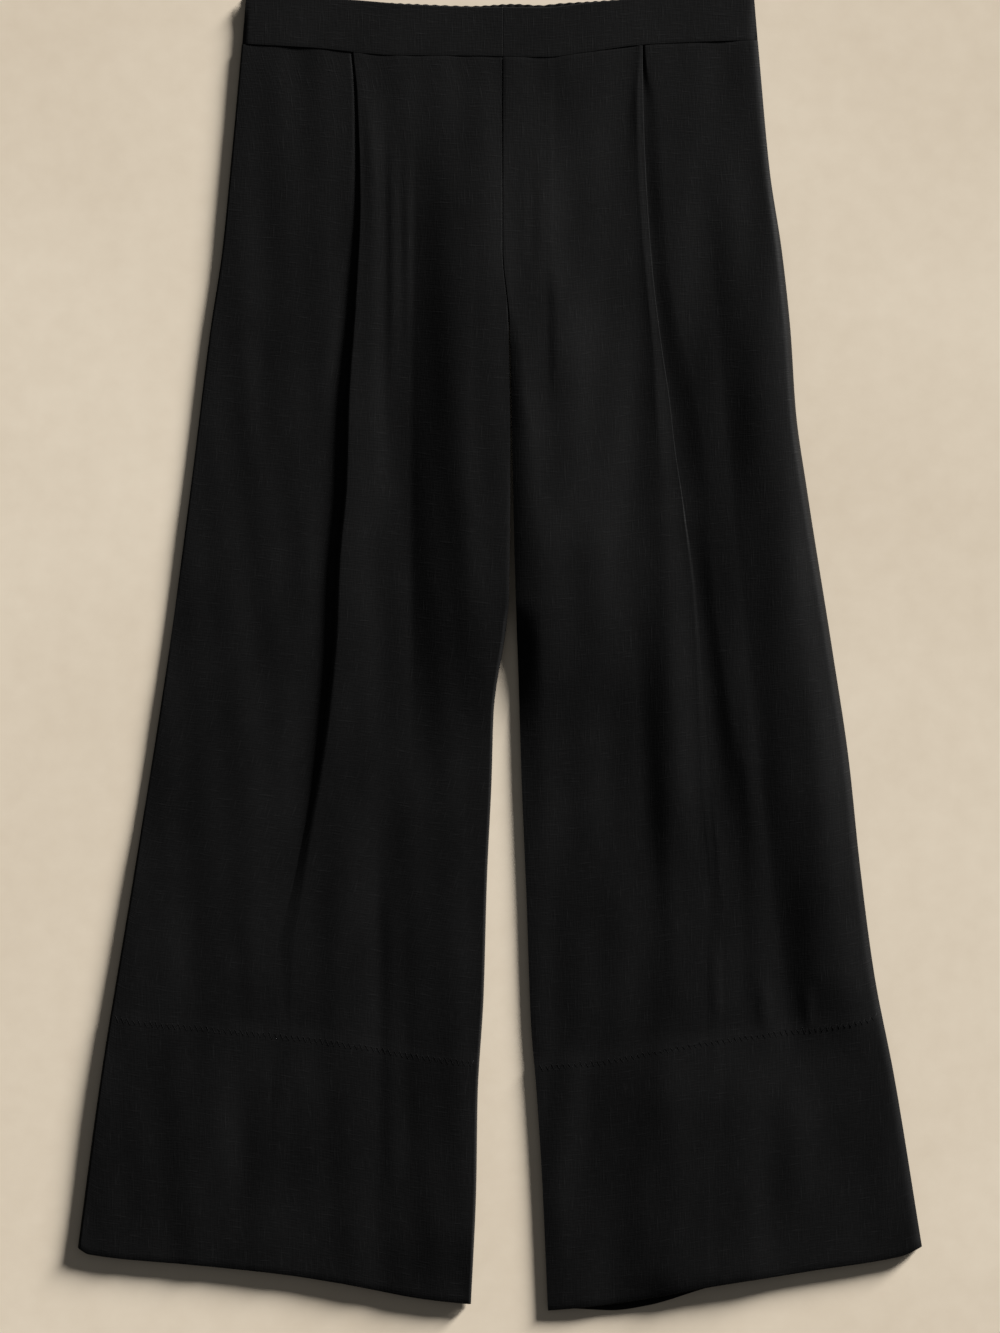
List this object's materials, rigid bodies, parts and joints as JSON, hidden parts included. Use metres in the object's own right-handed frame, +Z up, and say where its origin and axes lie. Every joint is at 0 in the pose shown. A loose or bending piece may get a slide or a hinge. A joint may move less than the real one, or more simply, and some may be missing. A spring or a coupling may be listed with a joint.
{
  "type": "pair of wide-leg culottes laid flat",
  "caption": "Wide-leg cropped trousers lying flat with the front up: outward knife pleats, a fly closed left over right, a plain straight waistband and deep turned-up hems.",
  "frame": {"origin": "middle of the garment's width and length, on the surface that it lies on", "axes": "+X towards the wearer's left, +Y from the hems to the waist, +Z up from the surface, out of the front"},
  "size_m": [0.6321, 0.9878, 0.01],
  "materials": {
    "cloth": "matt charcoal-black plain weave with fine slubs",
    "waistband": "the same cloth, folded double and pressed smooth",
    "thread": "matt black sewing thread"
  },
  "bodies": {
    "root": {"front_left": "cloth", "front_right": "cloth", "back_left": "cloth", "back_right": "cloth", "fly_facing": "cloth", "waistband_front_left": "waistband", "waistband_front_right": "waistband", "waistband_back": "waistband"}
  },
  "joints": []
}
